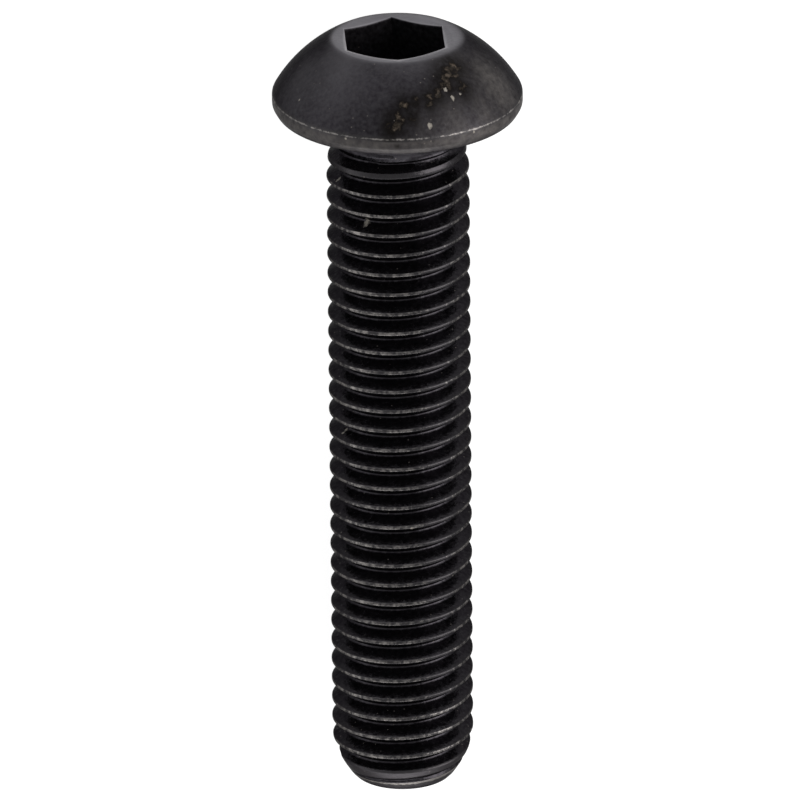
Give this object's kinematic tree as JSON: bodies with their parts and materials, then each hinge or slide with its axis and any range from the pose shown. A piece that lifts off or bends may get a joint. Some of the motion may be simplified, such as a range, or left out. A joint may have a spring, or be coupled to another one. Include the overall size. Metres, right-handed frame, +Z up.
{
  "type": "button head machine screw",
  "caption": "Black button head machine screw with a hexagon socket, a short plain neck and a right-hand thread to its tapered point.",
  "frame": {"origin": "on the floor, below the middle of the lying screw's box", "axes": "+Z up, +Y along the screw towards its head; the screw lies on its rim and on a crest near its point, so its axis rises 4.5 degrees towards the head"},
  "size_m": [0.0206, 0.0668, 0.0206],
  "materials": {
    "black_oxide_steel": "satin black oxide, slightly oily, worn bright on the crests and the rim"
  },
  "bodies": {
    "root": {"screw": "black_oxide_steel"}
  },
  "joints": []
}
